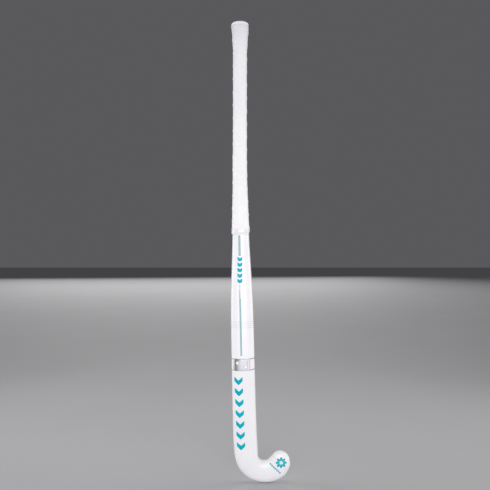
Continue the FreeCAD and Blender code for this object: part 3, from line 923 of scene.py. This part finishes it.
def build_tape():
    """Vinyl tape round the foot of the wrap, its end lapped over itself on the back."""
    turns = np.linspace(TAPE_SEAM, TAPE_SEAM + 1 + TAPE_LAP, 150)
    turn, share = np.meshgrid(turns, np.linspace(0, 1, 17), indexing="ij")
    low = TAPE_BASE - TAPE_HEM
    high = TAPE_TOP + 0.25 * np.sin(4 * math.pi * turn + 0.8)
    height = low + (high - low) * share
    ledge = (LEDGE + foot_bulge(TAPE_TOP)) * smooth((height - grip_foot(turn) + LEDGE_START) / LEDGE_RUN)
    layers = sum(wrap_thickness(turn % 1 + whole, height) for whole in LAST_TURNS)
    over_grip = np.maximum(ledge, layers + foot_bulge(height) * (layers > 0) + 0.03)
    lapped = LAP_STEP * smooth((turn - TAPE_SEAM - 1 + LAP_EASE) / LAP_EASE)
    wrinkle = 0.07 * np.sin(2 * math.pi * (11 * turn + 1.3 * share)) * np.sin(math.pi * share) ** 2
    under = UNDERLAY * smooth((height - GRIP_BASE + 1.4) / 1.4) + over_grip + lapped
    outer = handle_points(turn, height, under + TAPE_THICK + wrinkle)
    inner = handle_points(turn, height, under + 0.01)
    tape = make_piece("finishing_tape_band", *closed_grid(outer, inner), TAPE, "tape", "finishing_tape")


CAP_AROUND = 120
CAP_RIM = 2.0             # height of the rim under the dome
CROWN_SCALE = 0.36        # size of the flat crown, as a share of the rim
DOME_STEPS = 21


def cap_profile():
    """Scale and height above the seat of the cap's rings, from its rim to its crown. The rim has a fine
    parting groove and the crown a shallow moulded ring."""
    top = LENGTH - CAP_SEAT
    crown_angle = math.acos(CROWN_SCALE)
    rim = [(0.955, 0.0), (0.985, 0.12), (1.0, 0.5), (1.0, 1.1), (0.99, 1.25), (0.99, 1.45), (1.0, 1.6),
           (1.0, CAP_RIM)]
    dome = []
    for step in range(1, DOME_STEPS + 1):
        angle = crown_angle * step / DOME_STEPS
        rise = (top - CAP_RIM) * math.sin(angle) / math.sin(crown_angle)
        dome.append((math.cos(angle), CAP_RIM + rise))
    crown = [(0.335, top), (0.31, top - 0.02), (0.295, top - 0.28), (0.255, top - 0.28),
             (0.24, top - 0.02), (0.20, top), (0.10, top)]
    return rim + dome + crown


def build_cap():
    """The butt cap, as rings that follow the outline of the grip's top."""
    turns = np.arange(CAP_AROUND) / CAP_AROUND
    seat = handle_points(turns, np.full(CAP_AROUND, CAP_SEAT), np.full(CAP_AROUND, GRIP_OFFSET))
    centre = np.array([0.0, 0.0, CAP_SEAT])
    rings = []
    for scale, lift in cap_profile():
        ring = centre + (seat - centre) * np.array([scale, scale, 1.0])
        ring[:, 2] = CAP_SEAT + lift
        rings.append(ring)
    rings = np.array(rings)
    ends = [centre, centre + [0, 0, LENGTH - CAP_SEAT]]
    points = np.concatenate([rings.reshape(-1, 3), ends])
    count = len(rings) * CAP_AROUND
    faces = tube_faces(len(rings), CAP_AROUND, flip=True)
    faces += cap_faces(0, CAP_AROUND, count)
    faces += cap_faces(count - CAP_AROUND, CAP_AROUND, count + 1, flip=True)
    make_piece("butt_end_cap", points, faces, CAP, "cap", "butt_cap")


# ---------------------------------------------------------------- floor, light and camera

FLOOR_HALF = 12.0
CAMERA_PLACE = (0.01002, -1.2592, BASE_Z + 0.4791)
CAMERA_LENS = 45.98       # focal length and sensor width in millimetres
CAMERA_SENSOR = 36.0
WHITE_LIGHT = (1.0, 1.0, 1.0)
WORLD_GREY = (0.10, 0.10, 0.105)


def build_stage():
    """A plain pale floor under the stick."""
    mesh = bpy.data.meshes.new("floor")
    corners = [(x * FLOOR_HALF, y * FLOOR_HALF, BASE_Z) for x, y in ((-1, -1), (1, -1), (1, 1), (-1, 1))]
    mesh.from_pydata(corners, [], [(0, 1, 2, 3)])
    n = Nodes("pale_floor")
    tone = n.ramp(n.noise(400, 3), [(0.3, (0.46, 0.46, 0.47)), (0.7, (0.48, 0.48, 0.49))])
    mesh.materials.append(n.finish(colour=tone, roughness=0.85))
    floor = bpy.data.objects.new("floor", mesh)
    bpy.context.scene.collection.objects.link(floor)


def softbox(name, place, target, size, power, colour, spread=180):
    """A rectangular light that faces a target and that the camera doesn't see. Its spread is in degrees."""
    light = bpy.data.lights.new(name, "AREA")
    light.shape = "RECTANGLE"
    light.size, light.size_y = size
    light.energy = power
    light.color = colour
    light.spread = math.radians(spread)
    lamp = bpy.data.objects.new(name, light)
    bpy.context.scene.collection.objects.link(lamp)
    lamp.location = place
    lamp.rotation_euler = (Vector(target) - Vector(place)).to_track_quat("-Z", "Y").to_euler()
    lamp.visible_camera = False


def build_light():
    """Five soft lamps and a dim grey surround. The low lamps stop just above the floor."""
    middle = (0.01, 0.0, BASE_Z + 0.46)
    level = (0.01, 0.0, BASE_Z + 0.61)
    softbox("front_fill", (0.1, -2.6, level[2]), level, (2.2, 1.16), 33.0, (1.0, 0.99, 1.0), 130)
    softbox("heel_side", (-1.7, 0.35, level[2]), level, (0.9, 1.16), 6.2, (0.96, 0.97, 1.0), 110)
    softbox("toe_side", (1.7, 0.35, level[2]), level, (0.9, 1.16), 5.6, (1.0, 0.985, 0.965), 110)
    softbox("face_side", (-0.9, 7.8, middle[2] + 2.1), middle, (6.0, 4.0), 170, WHITE_LIGHT, 130)
    softbox("top", (0.0, -0.2, BASE_Z + 3.2), middle, (2.2, 2.2), 22, WHITE_LIGHT)
    world = bpy.data.worlds.new("studio")
    world.use_nodes = True
    world.node_tree.nodes["Background"].inputs["Color"].default_value = WORLD_GREY + (1.0,)
    bpy.context.scene.world = world


def build_camera():
    """Level with the middle of the stick and square to its back."""
    camera = bpy.data.cameras.new("camera")
    camera.sensor_width = CAMERA_SENSOR
    camera.lens = CAMERA_LENS
    viewer = bpy.data.objects.new("camera", camera)
    viewer.location = CAMERA_PLACE
    viewer.rotation_euler = (math.radians(90), 0, 0)
    bpy.context.scene.collection.objects.link(viewer)
    bpy.context.scene.camera = viewer
    bpy.context.scene.view_settings.view_transform = "Standard"
    bpy.context.scene.view_settings.look = "None"


finish_hidden_nodes()
build_prints()
build_wrap()
build_tape()
build_cap()
build_stage()
build_light()
build_camera()
